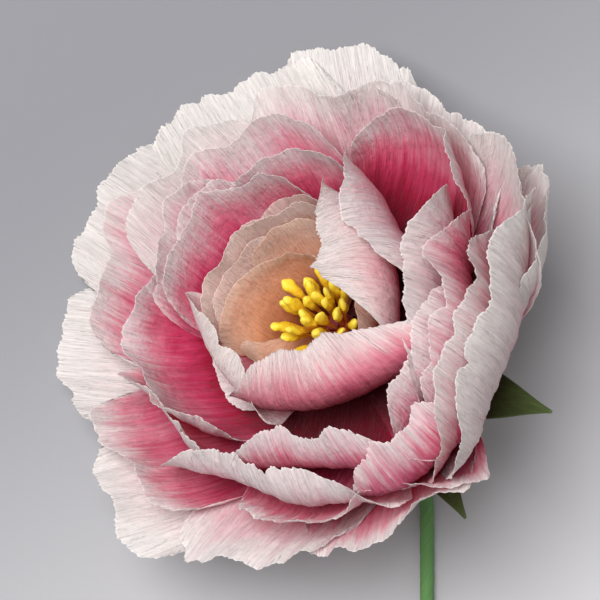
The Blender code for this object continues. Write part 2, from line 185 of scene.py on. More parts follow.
def meshFromArrays(name, points, faces, attributes=None, uv=None):
    # one object from arrays: points in metres, quads, a value per point for each attribute
    mesh = bpy.data.meshes.new(name)
    mesh.vertices.add(len(points))
    mesh.vertices.foreach_set("co", np.asarray(points, np.float32).ravel())
    mesh.loops.add(faces.size)
    mesh.loops.foreach_set("vertex_index", faces.ravel().astype(np.int32))
    mesh.polygons.add(len(faces))
    mesh.polygons.foreach_set("loop_start", np.arange(0, faces.size, 4, dtype=np.int32))
    mesh.polygons.foreach_set("loop_total", np.full(len(faces), 4, np.int32))
    mesh.update(calc_edges=True)
    for key, values in (attributes or {}).items():
        layer = mesh.attributes.new(key, "FLOAT", "POINT")
        layer.data.foreach_set("value", np.asarray(values, np.float32))
    if uv is not None:
        layer = mesh.uv_layers.new(name="paperUV")
        layer.data.foreach_set("uv", uv[faces.ravel()].astype(np.float32).ravel())
    mesh.shade_smooth()
    return addObject(name, mesh)


def gridFaces(rows, columns, start=0):
    # quads of a rows x columns grid of points
    i, j = np.meshgrid(np.arange(rows - 1), np.arange(columns - 1), indexing="ij")
    k = (i * columns + j).ravel() + start
    return np.stack([k, k + columns, k + columns + 1, k + 1], -1)


def tubeFaces(rows, columns):
    # quads between rows of points that are closed rings
    i, j = np.meshgrid(np.arange(rows - 1), np.arange(columns), indexing="ij")
    here, following = i * columns + j, i * columns + (j + 1) % columns
    return np.stack([here, following, following + columns, here + columns], -1).reshape(-1, 4)


def wallFromGrid(name, grid, thickness, attributes, uv):
    # the grid set off by half the thickness to both sides, closed round its four edges
    rows, columns = grid.shape[:2]
    normal = np.cross(np.gradient(grid, axis=0), np.gradient(grid, axis=1))
    normal = normal / (np.linalg.norm(normal, axis=-1)[..., None] + 1e-12)
    off = normal * (thickness / 2)[..., None]
    count = rows * columns
    points = np.concatenate([(grid + off).reshape(-1, 3), (grid - off).reshape(-1, 3)])
    edge = np.concatenate([np.arange(rows) * columns, (rows - 1) * columns + np.arange(1, columns),
                           np.arange(rows - 2, -1, -1) * columns + columns - 1, np.arange(columns - 2, 0, -1)])
    following = np.roll(edge, -1)
    side = np.stack([following, edge, edge + count, following + count], -1)
    faces = np.concatenate([gridFaces(rows, columns), gridFaces(rows, columns, count)[:, ::-1], side])
    doubled = {key: np.tile(value.ravel(), 2) for key, value in attributes.items()}
    return meshFromArrays(name, points, faces, doubled, np.tile(uv.reshape(-1, 2), (2, 1)))


# what petals and sepals share: closer points near the edges, two waves of ruffle (mm long,
# the second one's share) that drift up the sheet
sheets = {"claw": 1.7, "crowding": 0.82, "ruffleLong": 34, "ruffleShort": 19, "shortShare": 0.45, "drift": 1.2}


def crowdedSteps(count):
    # from -1 to 1 across the sheet
    crowding = sheets["crowding"]
    return np.sin(np.linspace(-1, 1, count) * np.pi / 2 * crowding) / math.sin(np.pi / 2 * crowding)


def ruffleWave(flat, t, phases):
    longWave = np.sin(2 * np.pi * flat / sheets["ruffleLong"] + phases[0] + sheets["drift"] * t)
    shortWave = np.sin(2 * np.pi * flat / sheets["ruffleShort"] + phases[1] + sheets["drift"] * t)
    return longWave + sheets["shortShare"] * shortWave


def widthRadius(shell, centre, run, rim=None):
    # the radius that turns a width in mm into an angle, never falling towards the rim
    return np.maximum.accumulate(shellCurve(shell + 0 * run, centre + 0 * run, run, rim)[0])


def standOff(curve, offset, angle):
    # points moved off the shell along its normal
    r, w, dr, dw = curve
    r = r + dw * offset
    w = w - dr * offset
    return np.stack([r * np.cos(angle), r * np.sin(angle), w], -1)


# petals: shell, azimuth, length, width, dye (how far up the petal the crimson reaches) and, where it
# doesn't follow its whorl, the rim at its left edge, middle and right edge as radius, rise, tip
petals = {
    "thickness": 0.35, "rimThinning": 0.84, "acrossPerMm": 2.1, "along": 28, "rowCrowding": 1.5, "seed": 11,
    "meanArc": 75, "uvShift": 37.0,
    # one value per whorl, mm
    "ownRuffle": (0.25, 0.35, 0.5, 0.6, 0.7, 0.8),
    "crinkle": (0.12, 0.16, 0.2, 0.22, 0.24, 0.26),
    "frill": (0.35, 0.6, 0.85, 1.0, 1.15, 1.2),
    "otherPaper": {"b1": "h", "b2": "h", "b6": "h", "a3": "h"},
    "lip": 0.7,
    "otherLips": {"b3": 0.5, "b4": 0.3, "c4": 0.5, "c6": 1.4, "d6": 1.6, "d7": 1.2, "d8": 2.0, "e7": 2.4,
                  "e8": 2.2, "e9": 2.2, "f7": 0.3, "f8": 2.2, "f9": 2.2, "f10": 1.8},
    "otherSeeds": {"f1": 71, "f2": 66, "f4": 96},
    # outline: corners, dip in the middle of the rim, width along the petal
    "corner": 0.2, "cornerPower": 2.6, "ownCornerPower": 5.5, "dip": 0.03, "dipWidth": 0.2,
    "sway": 0.011, "shoulder": 0.75, "pinch": 0.14,
    # torn edge and notches, mm
    "torn": 0.45, "tearSpread": 0.35, "notches": 4, "notchReach": 0.8,
    "notchDepth": (0.3, 1.7), "notchWidth": (1.0, 3.6),
    # waves as pairs of length in mm and weight
    "tears": ((21, 1.1), (8.7, 0.6), (1.7, 0.25)),
    "crinkles": ((9.3, 1), (4.1, 0.5), (1.9, 0.45)),
    "frills": ((23, 0.8), (12.5, 0.5), (7.1, 0.12)),
    "fanFrom": 0.35, "crinkleAtClaw": 0.25, "lullLength": 41, "frillFrom": 0.75, "frillScale": 0.125,
    "lipLength": 29, "lipFrom": 0.86,
    "table": (
        ("a1", -0.4, 135, 1.0, 46, 0.50, ((13, 32, -10), (19, 29, -5), (33, 28, 0))),
        ("a2", 0, 100, 1.0, 42, 0.34, ((22, 35, -5), (24, 32, 0), (26, 28, 0))),
        ("a3", 0.5, 150, 1.0, 40, 0.30, ((25, 33, 0), (27, 31, 0), (31, 29, 0))),
        ("a4", 0, 20, 1.00, 34, 0.30, None),
        ("a5", 0, -38, 1.06, 34, 0.30, None),
        ("a6", -0.03, -130, 1.0, 38, 0.30, ((26, 21, -5), (23, 27, -15), (21, 32, -20))),
        ("b1", 1, 150, 1.0, 50, 0.35, ((30, 36, 0), (30, 34, 0), (33, 32, 0))),
        ("b2", 1, 104, 1.0, 50, 0.35, ((25, 40, -15), (26, 38, -5), (31, 35, 0))),
        ("b3", 0.38, -154, 1.0, 54, 0.50, ((36, 34, -45), (25, 35, -60), (31, 30, -50))),
        ("b4", 1.12, -74, 1.0, 90, 0.84, ((31, 35, -40), (20, 43, -85), (44, 38, -70))),
        ("b5", 1, 25, 1.0, 66, 0.58, ((21, 39, -60), (11, 46, -80), (33, 42, -30))),
        ("b6", 1, 80, 0.92, 50, 0.40, None),
        ("c1", 2, 142, 1.0, 58, 0.68, ((48, 36, 0), (48, 33, 0), (50, 30, 0))),
        ("c2", 2, 118, 1.0, 62, 0.68, ((31, 40, -5), (45, 35, 0), (52, 32, 0))),
        ("c3", 2, 96, 1.0, 54, 0.68, ((41, 38, -5), (47, 35, 0), (47, 33, 0))),
        ("c4", 2, 30, 1.0, 66, 0.60, ((44, 36, -30), (25, 46, -45), (48, 38, -20))),
        ("c5", 2, -33, 1.0, 60, 0.72, ((50, 33, -30), (44, 39, -42), (42, 41, -42))),
        ("c6", 2, -88, 1.0, 66, 0.80, ((50, 34, -35), (43, 37, -48), (60, 36, -40))),
        ("c7", 2, -164, 0.60, 40, 0.50, None),
        ("d1", 3, 146, 1.0, 56, 0.64, ((60, 30, 0), (57, 30, 5), (58, 27, 5))),
        ("d2", 3, 112, 1.0, 68, 0.60, ((60, 30, 5), (65, 27, 10), (66, 26, 10))),
        ("d3", 3.15, 48, 1.0, 68, 0.70, ((54, 38, -10), (63, 35, 0), (48, 36, -10))),
        ("d4", 2.65, -8, 1.0, 74, 0.56, ((55, 36, -20), (36, 43, -40), (57, 42, -10))),
        ("d5", 2.95, -16, 1.0, 80, 0.82, ((63, 34, -20), (47, 44, -35), (58, 42, 0))),
        ("d6", 3.03, -60, 1.0, 54, 0.84, ((58, 29, -30), (56, 35, -50), (60, 37, -40))),
        ("d7", 3.1, -108, 1.0, 86, 0.56, ((64, 25, -25), (50, 31, -45), (62, 23, -35))),
        ("d8", 3, -168, 1.0, 86, 0.70, ((57, 28, 0), (57, 27, -5), (42, 29, -30))),
        ("e1", 4, 157, 1.0, 76, 0.74, ((84, 21, 20), (83, 18, 20), (76, 20, 15))),
        ("e2", 4.06, 130, 1.0, 72, 0.50, ((74, 24, 15), (76, 24, 20), (82, 20, 20))),
        ("e3", 4, 88, 1.0, 80, 0.62, ((66, 28, 10), (76, 20, 25), (78, 18, 25))),
        ("e4", 4, 60, 1.0, 68, 0.58, ((68, 30, 10), (70, 28, 15), (76, 24, 20))),
        ("e5", 4, 23, 1.0, 72, 0.52, ((80, 36, 10), (74, 31, 15), (68, 26, 15))),
        ("e6", 4, -24, 1.0, 86, 0.84, ((70, 32, -10), (57, 45, -25), (66, 44, 5))),
        ("e7", 4, -85, 1.0, 92, 0.80, ((66, 18, 5), (63, 20, 0), (74, 19, 5))),
        ("e8", 4.44, -152, 1.0, 66, 0.77, ((77, 18, 15), (79, 16, 15), (72, 17, 10))),
        ("e9", 3.85, -148, 1.0, 64, 0.76, ((65, 26, -5), (53, 29, -30), (53, 29, -30))),
        ("f1", 5, 178, 1.0, 78, 0.38, ((92, 9, 50), (95, 9, 50), (81, 9, 45))),
        ("f2", 4.98, 146, 1.0, 78, 0.38, ((95, 15, 40), (96, 17, 40), (92, 11, 45))),
        ("f3", 5, 112, 1.0, 92, 0.36, ((92, 11, 55), (93, 12, 50), (98, 17, 45))),
        ("f4", 5.1, 86, 1.0, 78, 0.42, ((81, 10, 50), (93, 10, 55), (94, 9, 55))),
        ("f5", 5.14, 55, 1.0, 84, 0.55, ((72, 22, 45), (76, 16, 45), (84, 10, 45))),
        ("f6", 5.03, 11, 0.93, 70, 0.50, ((62, 38, -5), (79, 31, 5), (79, 26, 20))),
        ("f7", 5.05, -18, 1.0, 98, 0.52, ((74, 36, -5), (64, 45, -20), (82, 45, 10))),
        ("f8", 5.05, -76, 1.0, 74, 0.72, ((74, 11, 40), (74, 13, 30), (71, 20, 10))),
        ("f9", 5, -112, 1.0, 78, 0.56, ((83, 9, 45), (79, 13, 40), (73, 14, 30))),
        ("f10", 5, -146, 1.0, 76, 0.44, ((82, 8, 45), (91, 11, 40), (86, 11, 40)))),
}


def sineMix(x, waves, random):
    # sum of sines of the given lengths and weights, with random phases
    total = 0
    for length, weight in waves:
        total = total + weight * np.sin(2 * np.pi * x / length + random.uniform(0, 2 * np.pi))
    return total


def tornRim(flat, width, random):
    # how far the rim runs past its smooth line, mm: fine tears, less the notches
    jag = petals["torn"] * (random.normal(0, petals["tearSpread"], len(flat))[:, None]
                            + sineMix(flat, petals["tears"], random))
    count, reach = petals["notches"], petals["notchReach"]
    places = random.uniform(-reach, reach, count) * width / 2
    depths = random.uniform(*petals["notchDepth"], count)
    widths = random.uniform(*petals["notchWidth"], count)
    return jag - (depths * np.exp(-np.abs(flat - places) / widths)).sum(-1)[:, None]


def petalSurface(shell, azimuth, length, width, rim, whorl, lip, seed):
    # a point stands on the shell at (azimuth + x / radius, u), moved off it along the normal by the
    # shared waves, the petal's own ruffle, fine crinkles along the grain, a frilled rim and a lip
    rows = 1 - (1 - np.linspace(0, 1, petals["along"])) ** petals["rowCrowding"]
    x, t = np.meshgrid(crowdedSteps(int(petals["acrossPerMm"] * width)), rows, indexing="ij")
    phase = np.random.default_rng(seed + 100).uniform(0, phaseRange, 2)
    random = np.random.default_rng(seed + 500)
    edge = 1 - petals["corner"] * np.abs(x) ** petals["ownCornerPower" if rim else "cornerPower"]
    edge = edge - petals["dip"] * np.exp(-((x / petals["dipWidth"]) ** 2))
    sway = 1 + t * petals["sway"] * (np.sin(5 * x + phase[0]) + 0.7 * np.sin(9 * x + phase[1]))
    centre = math.radians(azimuth)
    radius = widthRadius(shell, centre, rows * length, rim)
    half = np.sin(np.pi / 2 * rows ** petals["shoulder"]) * (1 - petals["pinch"] * rows ** 5)
    half = sheets["claw"] + (width / 2 - sheets["claw"]) * half
    flat = x * half[None, :]
    jag = tornRim(flat[:, -1:], width, random)
    u = t * length * edge * sway + t ** 7 * jag / petals["meanArc"]
    angle = flat / radius[None, :]
    turned = shell + shells["spiral"] * angle
    curve = shellCurve(turned, centre + angle, u, rim, x)
    own = np.random.default_rng(seed).uniform(0, phaseRange, 2)
    offset = sharedWaves(turned, centre + angle, curve[0], u)
    offset = offset + petals["ownRuffle"][whorl] * t ** 3 * ruffleWave(flat, t, own)
    fan = flat / (petals["fanFrom"] + (1 - petals["fanFrom"]) * t) + 1.2 * np.sin(5 * t + own[0])
    crinkle = petals["crinkle"][whorl] * (petals["crinkleAtClaw"] + t ** 2)
    offset = offset + crinkle * sineMix(fan, petals["crinkles"], random)
    lull = 0.55 + 0.45 * np.sin(2 * np.pi * flat / petals["lullLength"] + own[1])
    frill = petals["frill"][whorl] * np.maximum(t - petals["frillFrom"], 0) ** 1.5 / petals["frillScale"]
    offset = offset + frill * lull * sineMix(flat, petals["frills"], random)
    roll = lip * (0.6 + 0.4 * np.sin(2 * np.pi * flat / petals["lipLength"] + own[0]))
    offset = offset + roll * (np.maximum(t - petals["lipFrom"], 0) / (1 - petals["lipFrom"])) ** 2
    return standOff(curve, offset, centre + angle), t, flat, u * petals["meanArc"]


def makePetals(materials):
    for number, (key, shell, azimuth, length, width, dye, rim) in enumerate(petals["table"]):
        whorl = int(round(shell))
        lip = petals["otherLips"].get(key, petals["lip"])
        seed = petals["seed"] + petals["otherSeeds"].get(key, number)
        grid, t, flat, run = petalSurface(shell, azimuth, length, width, rim, whorl, lip, seed)
        thickness = petals["thickness"] * mm * (1 - petals["rimThinning"] * t ** 9)
        uv = np.stack([(flat + petals["uvShift"] * number) / uvSpan, run / uvSpan], -1)
        values = {"reach": t, "dye": np.full(t.shape, dye)}
        obj = wallFromGrid("petal_" + key + "_paper", toRow(grid), thickness, values, uv)
        outer = obj.data.attributes.new("outerSide", "FLOAT", "POINT")
        outer.data.foreach_set("value", np.repeat(np.float32([1, 0]), t.size))
        obj.data.materials.append(materials[petals["otherPaper"].get(key, key[0])])
        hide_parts("petal_" + key)
        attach(obj, "root")


# shader helpers
def addNode(tree, kind, **settings):
    node = tree.nodes.new(kind)
    for key, value in settings.items():
        setattr(node, key, value)
    return node


def feed(tree, node, values):
    # each input by name or number: a socket is linked, anything else is set
    for key, value in values.items():
        if isinstance(value, bpy.types.NodeSocket):
            tree.links.new(value, node.inputs[key])
        else:
            node.inputs[key].default_value = value
    return node


def mathNode(tree, operation, *values):
    node = addNode(tree, "ShaderNodeMath", operation=operation)
    return feed(tree, node, dict(enumerate(values))).outputs[0]


def centred(tree, mask, share):
    # a mask from 0 to 1 as a shift to both sides of nothing
    return mathNode(tree, "MULTIPLY", mathNode(tree, "SUBTRACT", mask, 0.5), share)


def mixColours(tree, factor, first, second, blend="MIX"):
    node = addNode(tree, "ShaderNodeMix", data_type="RGBA", blend_type=blend)
    node.clamp_factor = True
    return feed(tree, node, {0: factor, 6: first, 7: second}).outputs[2]


def colourRamp(tree, factor, stops):
    node = addNode(tree, "ShaderNodeValToRGB")
    ramp = node.color_ramp
    while len(ramp.elements) > 1:
        ramp.elements.remove(ramp.elements[-1])
    ramp.elements[0].position, ramp.elements[0].color = stops[0]
    for position, colour in stops[1:]:
        ramp.elements.new(position).color = colour
    return feed(tree, node, {0: factor}).outputs[0]


def attributeValue(tree, name):
    return addNode(tree, "ShaderNodeAttribute", attribute_name=name).outputs["Fac"]


def ownPlace(tree):
    return addNode(tree, "ShaderNodeTexCoord").outputs["Object"]


def addNoise(tree, vector, scale, detail, rough=0.5):
    values = {"Vector": vector, "Scale": scale, "Detail": detail, "Roughness": rough}
    return feed(tree, addNode(tree, "ShaderNodeTexNoise"), values).outputs[0]


def addBump(tree, height, strength, distance):
    values = {"Height": height, "Strength": strength, "Distance": distance}
    return feed(tree, addNode(tree, "ShaderNodeBump"), values)


def newMaterial(name):
    material = bpy.data.materials.new(name)
    material.use_nodes = True
    return material, material.node_tree, material.node_tree.nodes["Principled BSDF"]


# grain of the paper: for each mask how it is stretched across and along it, per mm, then the
# noise's detail and roughness; ridges and streaks take their first value from the paper
grainMasks = {
    "Ridge": ("Ridges per mm", 0.09, 2.0, 0.55), "Streak": ("Streaks per mm", 0.035, 3.0, 0.6),
    "Cloud": (0.06, 0.05, 2.0, 0.5), "Crumple": (0.5, 0.28, 3.0, 0.6),
}


def makeGrainGroup():
    # crepe grain: ridges close together across the paper and long down it, streaks of dye,
    # soft clouds and crumples
    group = bpy.data.node_groups.new("crepeGrain", "ShaderNodeTree")
    group.interface.new_socket("UV", in_out="INPUT", socket_type="NodeSocketVector")
    for label in ("Ridges per mm", "Streaks per mm"):
        group.interface.new_socket(label, in_out="INPUT", socket_type="NodeSocketFloat")
    for label in grainMasks:
        group.interface.new_socket(label, in_out="OUTPUT", socket_type="NodeSocketFloat")
    entry = addNode(group, "NodeGroupInput")
    leave = addNode(group, "NodeGroupOutput")
    split = feed(group, addNode(group, "ShaderNodeSeparateXYZ"), {0: entry.outputs["UV"]})
    across = mathNode(group, "MULTIPLY", split.outputs[0], uvSpan)
    along = mathNode(group, "MULTIPLY", split.outputs[1], uvSpan)
    for label, (perAcross, perAlong, detail, rough) in grainMasks.items():
        if isinstance(perAcross, str):
            perAcross = entry.outputs[perAcross]
        join = feed(group, addNode(group, "ShaderNodeCombineXYZ"),
                    {0: mathNode(group, "MULTIPLY", across, perAcross),
                     1: mathNode(group, "MULTIPLY", along, perAlong)})
        feed(group, leave, {label: addNoise(group, join.outputs[0], 1.0, detail, rough)})
    return group


grainGroup = makeGrainGroup()


def grainIn(tree, ridges, streaks):
    uv = addNode(tree, "ShaderNodeUVMap", uv_map="paperUV")
    node = addNode(tree, "ShaderNodeGroup", node_tree=grainGroup)
    return feed(tree, node, {"UV": uv.outputs[0], "Ridges per mm": ridges, "Streaks per mm": streaks}).outputs


# dyes of the papers, the heart paper's with painted shade towards the claw: colour stops from the claw to the
# rim, how much paler the outer face is, how far the streaks of dye run past one another, how much the paper is
# crumpled
papers = {
    # heart paper: peach dye paling to the rim; its stops darken to brown towards the claw as painted shade deep
    # in the cup
    "a": {"name": "heartCrepe", "lift": 0.10, "streak": 0.12, "crumple": 0.2,
          "stops": ((0.0, (0.20, 0.03, 0.01, 1)), (0.25, (0.52, 0.15, 0.04, 1)), (0.50, (0.84, 0.42, 0.23, 1)),
                    (0.75, (0.92, 0.60, 0.43, 1)), (1.0, (0.96, 0.78, 0.66, 1)))},
    "h": {"name": "peachCrepe", "lift": 0.10, "streak": 0.16, "crumple": 0.25,
          "stops": ((0.0, (0.45, 0.02, 0.05, 1)), (0.25, (0.78, 0.22, 0.22, 1)), (0.50, (0.90, 0.48, 0.42, 1)),
                    (0.75, (0.95, 0.68, 0.61, 1)), (1.0, (0.97, 0.84, 0.79, 1)))},
    "b": {"name": "innerCrepe", "lift": 0.04, "streak": 0.30, "crumple": 0.5,
          "stops": ((0.0, (0.25, 0.0, 0.02, 1)), (0.26, (0.60, 0.03, 0.12, 1)), (0.42, (0.86, 0.26, 0.36, 1)),
                    (0.58, (0.93, 0.58, 0.62, 1)), (0.78, (0.95, 0.81, 0.81, 1)),
                    (1.0, (0.96, 0.90, 0.88, 1)))},
    "c": {"name": "middleCrepe", "lift": 0.06, "streak": 0.36, "crumple": 0.5,
          "stops": ((0.0, (0.22, 0.0, 0.015, 1)), (0.28, (0.50, 0.004, 0.05, 1)), (0.42, (0.76, 0.05, 0.17, 1)),
                    (0.53, (0.89, 0.23, 0.37, 1)), (0.64, (0.93, 0.52, 0.61, 1)), (0.77, (0.95, 0.76, 0.79, 1)),
                    (0.90, (0.96, 0.88, 0.88, 1)), (1.0, (0.97, 0.92, 0.91, 1)))},
    "e": {"name": "outerCrepe", "lift": 0.12, "streak": 0.36, "crumple": 0.5,
          "stops": ((0.0, (0.30, 0.0, 0.03, 1)), (0.28, (0.62, 0.02, 0.10, 1)), (0.42, (0.84, 0.16, 0.29, 1)),
                    (0.53, (0.92, 0.42, 0.52, 1)), (0.66, (0.95, 0.70, 0.74, 1)), (0.80, (0.96, 0.87, 0.87, 1)),
                    (1.0, (0.97, 0.94, 0.92, 1)))},
}

# what all the papers share: grain per mm, how the dye and the pale rim set in, how dark the troughs of the
# grain are painted as painted shade, gloss, bumps (strength, metres) and the light that comes through
crepe = {
    "ridges": 2.1, "streaks": 0.7, "streakShare": 0.8, "cloudShare": 0.4, "dyeLevel": 0.45,
    "rimFrom": 0.85, "rimSlope": 5.5, "rimMost": 0.85,
    "troughShadeSlope": 0.7, "troughShadeLevel": 0.66, "troughShadeShare": 0.55,
    "roughSlope": 0.2, "roughLevel": 0.68, "specular": 0.25, "sheen": 0.15, "sheenRoughness": 0.6,
    "ridgeBump": (0.9, 0.0009), "crumpleDepth": 0.0012, "throughTint": 0.5, "through": 0.42,
}


def makePaper(dyeAndShade):
    # dye by height above the claw (in the heart paper also painted shade towards the claw), shifted by streaks
    # along the grain and by the face seen
    material, tree, shader = newMaterial(dyeAndShade["name"])
    grain = grainIn(tree, crepe["ridges"], crepe["streaks"])
    streak = centred(tree, grain["Streak"], dyeAndShade["streak"] * crepe["streakShare"])
    cloud = centred(tree, grain["Cloud"], crepe["cloudShare"])
    height = mathNode(tree, "ADD", attributeValue(tree, "reach"), streak)
    outer = mathNode(tree, "MULTIPLY", attributeValue(tree, "outerSide"), dyeAndShade["lift"])
    fade = mathNode(tree, "SUBTRACT", mathNode(tree, "ADD", height, cloud), attributeValue(tree, "dye"))
    fade = mathNode(tree, "ADD", mathNode(tree, "ADD", fade, outer), crepe["dyeLevel"])
    colour = colourRamp(tree, fade, dyeAndShade["stops"])
    rim = mathNode(tree, "MULTIPLY", mathNode(tree, "SUBTRACT", height, crepe["rimFrom"]), crepe["rimSlope"])
    colour = mixColours(tree, mathNode(tree, "MINIMUM", rim, crepe["rimMost"]), colour, dyeAndShade["stops"][-1][1])
    # painted shade: the colour darkens in the troughs of the grain, as if shade fell into them
    troughShade = mathNode(tree, "MULTIPLY_ADD", grain["Ridge"], crepe["troughShadeSlope"], crepe["troughShadeLevel"])
    grey = feed(tree, addNode(tree, "ShaderNodeCombineColor"), {0: troughShade, 1: troughShade, 2: troughShade})
    troughShaded = mixColours(tree, 1.0, colour, grey.outputs[0], "MULTIPLY")
    colour = mixColours(tree, crepe["troughShadeShare"], colour, troughShaded)
    ridges = addBump(tree, grain["Ridge"], *crepe["ridgeBump"])
    bumps = addBump(tree, grain["Crumple"], dyeAndShade["crumple"], crepe["crumpleDepth"])
    feed(tree, bumps, {"Normal": ridges.outputs[0]})
    rough = mathNode(tree, "MULTIPLY_ADD", grain["Crumple"], crepe["roughSlope"], crepe["roughLevel"])
    feed(tree, shader, {"Base Color": colour, "Roughness": rough, "Specular IOR Level": crepe["specular"],
                        "Sheen Weight": crepe["sheen"], "Sheen Roughness": crepe["sheenRoughness"],
                        "Normal": bumps.outputs[0]})
    deeper = mixColours(tree, 1.0, colour, colour, "MULTIPLY")
    through = feed(tree, addNode(tree, "ShaderNodeBsdfTranslucent"),
                   {"Color": mixColours(tree, crepe["throughTint"], colour, deeper)})
    blend = feed(tree, addNode(tree, "ShaderNodeMixShader"),
                 {0: crepe["through"], 1: shader.outputs[0], 2: through.outputs[0]})
    feed(tree, tree.nodes["Material Output"], {"Surface": blend.outputs[0]})
    return material


paperMaterials = {key: makePaper(dyeAndShade) for key, dyeAndShade in papers.items()}
paperMaterials["d"] = paperMaterials["c"]
paperMaterials["f"] = paperMaterials["e"]
makePetals(paperMaterials)
print("petals made")

# green papers: two greens, the lighter one painted on the ridges as painted light, ridges per mm, strength of
# their bump; then what both share
greens = {
    "sepalCrepe": ((0.006, 0.013, 0.004, 1), (0.10, 0.145, 0.04, 1), 0.9, 1.0),
    "stemTapeGreen": ((0.075, 0.20, 0.055, 1), (0.17, 0.36, 0.12, 1), 1.0, 0.6),
    "streaks": 0.3, "cloudShare": 0.6, "ridgeLightShare": 0.5, "roughSlope": 0.2, "roughLevel": 0.6,
    "specular": 0.3, "ridgeDepth": 0.0008,
}


def makeGreen(name):
    # painted light and shade: ridges along the grain brighten the paper, troughs stay dim; soft clouds vary the
    # tone; crumples roughen it
    dark, light, ridges, bump = greens[name]
    material, tree, shader = newMaterial(name)
    grain = grainIn(tree, ridges, greens["streaks"])
    ridgeLightAndCloud = mathNode(tree, "MULTIPLY", grain["Ridge"], greens["ridgeLightShare"])
    ridgeLightAndCloud = mathNode(tree, "MULTIPLY_ADD", grain["Cloud"], greens["cloudShare"], ridgeLightAndCloud)
    rough = mathNode(tree, "MULTIPLY_ADD", grain["Crumple"], greens["roughSlope"], greens["roughLevel"])
    feed(tree, shader, {"Base Color": mixColours(tree, ridgeLightAndCloud, dark, light), "Roughness": rough,
                        "Specular IOR Level": greens["specular"],
                        "Normal": addBump(tree, grain["Ridge"], bump, greens["ridgeDepth"]).outputs[0]})
    return material


# sepals: name, shell, azimuth, length, width
sepals = {
    "thickness": 0.5, "tipThinning": 0.5, "across": 28, "along": 60, "shoulder": 0.8, "point": 0.75,
    "ruffle": 0.4, "dish": 0.12, "ribHeight": 0.35, "midribWidth": 0.09, "sideRibs": 0.3, "ribCount": 9,
    "uvShift": 31, "uvLength": 0.75, "firstSeed": 60,
    "table": (("sepal_1", 6.95, -28, 0.95, 19), ("sepal_2", 7.2, -61, 0.88, 15), ("sepal_3", 7.0, 42, 0.80, 18),
              ("sepal_4", 7.0, 115, 0.80, 18), ("sepal_5", 7.0, -165, 0.80, 18)),
}


def makeSepals(material):
    # a lance-shaped sheet on its shell, dished across, with long ribs raised along it
    rows = np.linspace(0, 1, sepals["along"])
    x, t = np.meshgrid(crowdedSteps(sepals["across"]), rows, indexing="ij")
    ribs = sepals["sideRibs"] * np.cos(sepals["ribCount"] * np.pi * x)
    ribs = ribs + np.exp(-(x / sepals["midribWidth"]) ** 2)
    swell = np.sin(np.pi * t)
    for number, (key, shell, azimuth, length, width) in enumerate(sepals["table"]):
        centre = math.radians(azimuth)
        radius = widthRadius(shell, centre, rows * length)
        half = sheets["claw"] + (width / 2 - sheets["claw"]) * np.sin(np.pi * rows ** sepals["shoulder"])
        flat = x * (half * (1 - sepals["point"] * rows ** 6))[None, :]
        angle = flat / radius[None, :]
        curve = shellCurve(shell + shells["spiral"] * angle, centre + angle, t * length)
        seed = petals["seed"] + sepals["firstSeed"] + number
        own = np.random.default_rng(seed).uniform(0, phaseRange, 2)
        offset = sepals["ruffle"] * t ** 3 * ruffleWave(flat, t, own) - sepals["dish"] * width * x * x * swell
        offset = offset + sepals["ribHeight"] * swell * ribs
        grid = standOff(curve, offset, centre + angle)
        uv = np.stack([(flat + sepals["uvShift"] * number) / uvSpan, t * length * sepals["uvLength"]], -1)
        thickness = sepals["thickness"] * mm * (1 - sepals["tipThinning"] * t ** 10)
        obj = wallFromGrid(key + "_paper", toRow(grid), thickness, {}, uv)
        obj.data.materials.append(material)
        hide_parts(key)
        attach(obj, "root")


makeSepals(makeGreen("sepalCrepe"))
print("sepals made")

# stamens: two sets of fingers, each with the radii and top of its band in mm, number of fingers,
# two splay angles and length; clubs swell round "clubAt" of a finger's length
stamens = {
    "bandBottom": 1.9, "bandAround": 96, "rootDepth": 0.6, "closing": 0.45, "closingBearing": 0.6,
    "splayMore": 3, "swing": 6, "longer": 1.1, "lengths": (0.86, 1.04),
    "bendSeed": 7, "bend": 1.6, "twist": 0.8,
    "around": 14, "along": 34, "headWide": 1.75, "headDeep": 1.45, "threadWide": 0.42, "threadDeep": 0.32,
    "clubAt": 0.78, "clubReach": 0.25, "roundFrom": 0.90, "roundReach": 0.1001, "thinnest": 0.02, "dent": 0.32,
    "sets": (("stamens_inner", 2.3, 3.0, 6.0, 12, (5, 23), 17.5),
             ("stamens_outer", 3.3, 4.2, 5.0, 14, (33, 46), 17.0)),
}


